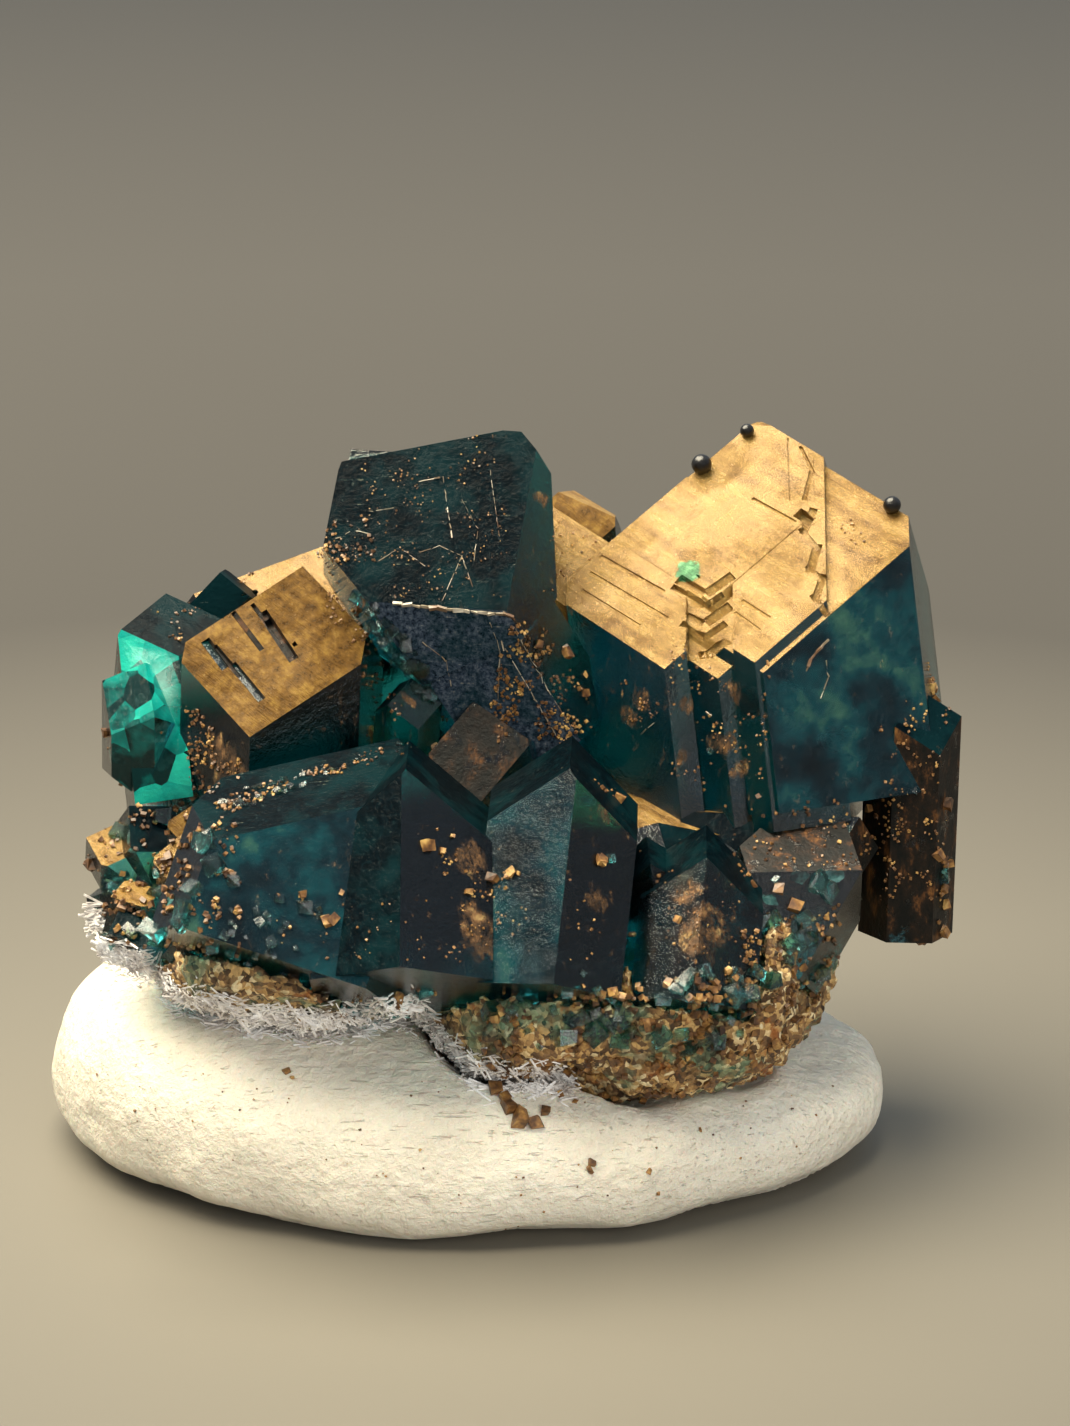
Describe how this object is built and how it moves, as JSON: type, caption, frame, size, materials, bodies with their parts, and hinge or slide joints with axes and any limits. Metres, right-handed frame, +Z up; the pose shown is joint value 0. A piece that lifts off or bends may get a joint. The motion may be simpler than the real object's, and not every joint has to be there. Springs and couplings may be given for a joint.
{
  "type": "mineral specimen",
  "caption": "Blue-green dioptase crystals grown over a lump of brown limonite rock, standing in a pressed pad of white mounting putty",
  "frame": {"origin": "centre of the putty pad's flat underside, where the specimen rests", "axes": "+Z up; +X along the longest side, to the right when the specimen is seen from its front; -Y faces the front"},
  "size_m": [0.0258, 0.0177, 0.0203],
  "materials": {
    "dioptase": "clear, glassy crystal faces",
    "limonite_rock": "rough, granular",
    "mounting_putty": "matt, hand pressed"
  },
  "bodies": {
    "root": {"crystals": "dioptase", "matrix": "limonite_rock", "putty": "mounting_putty"}
  },
  "joints": []
}
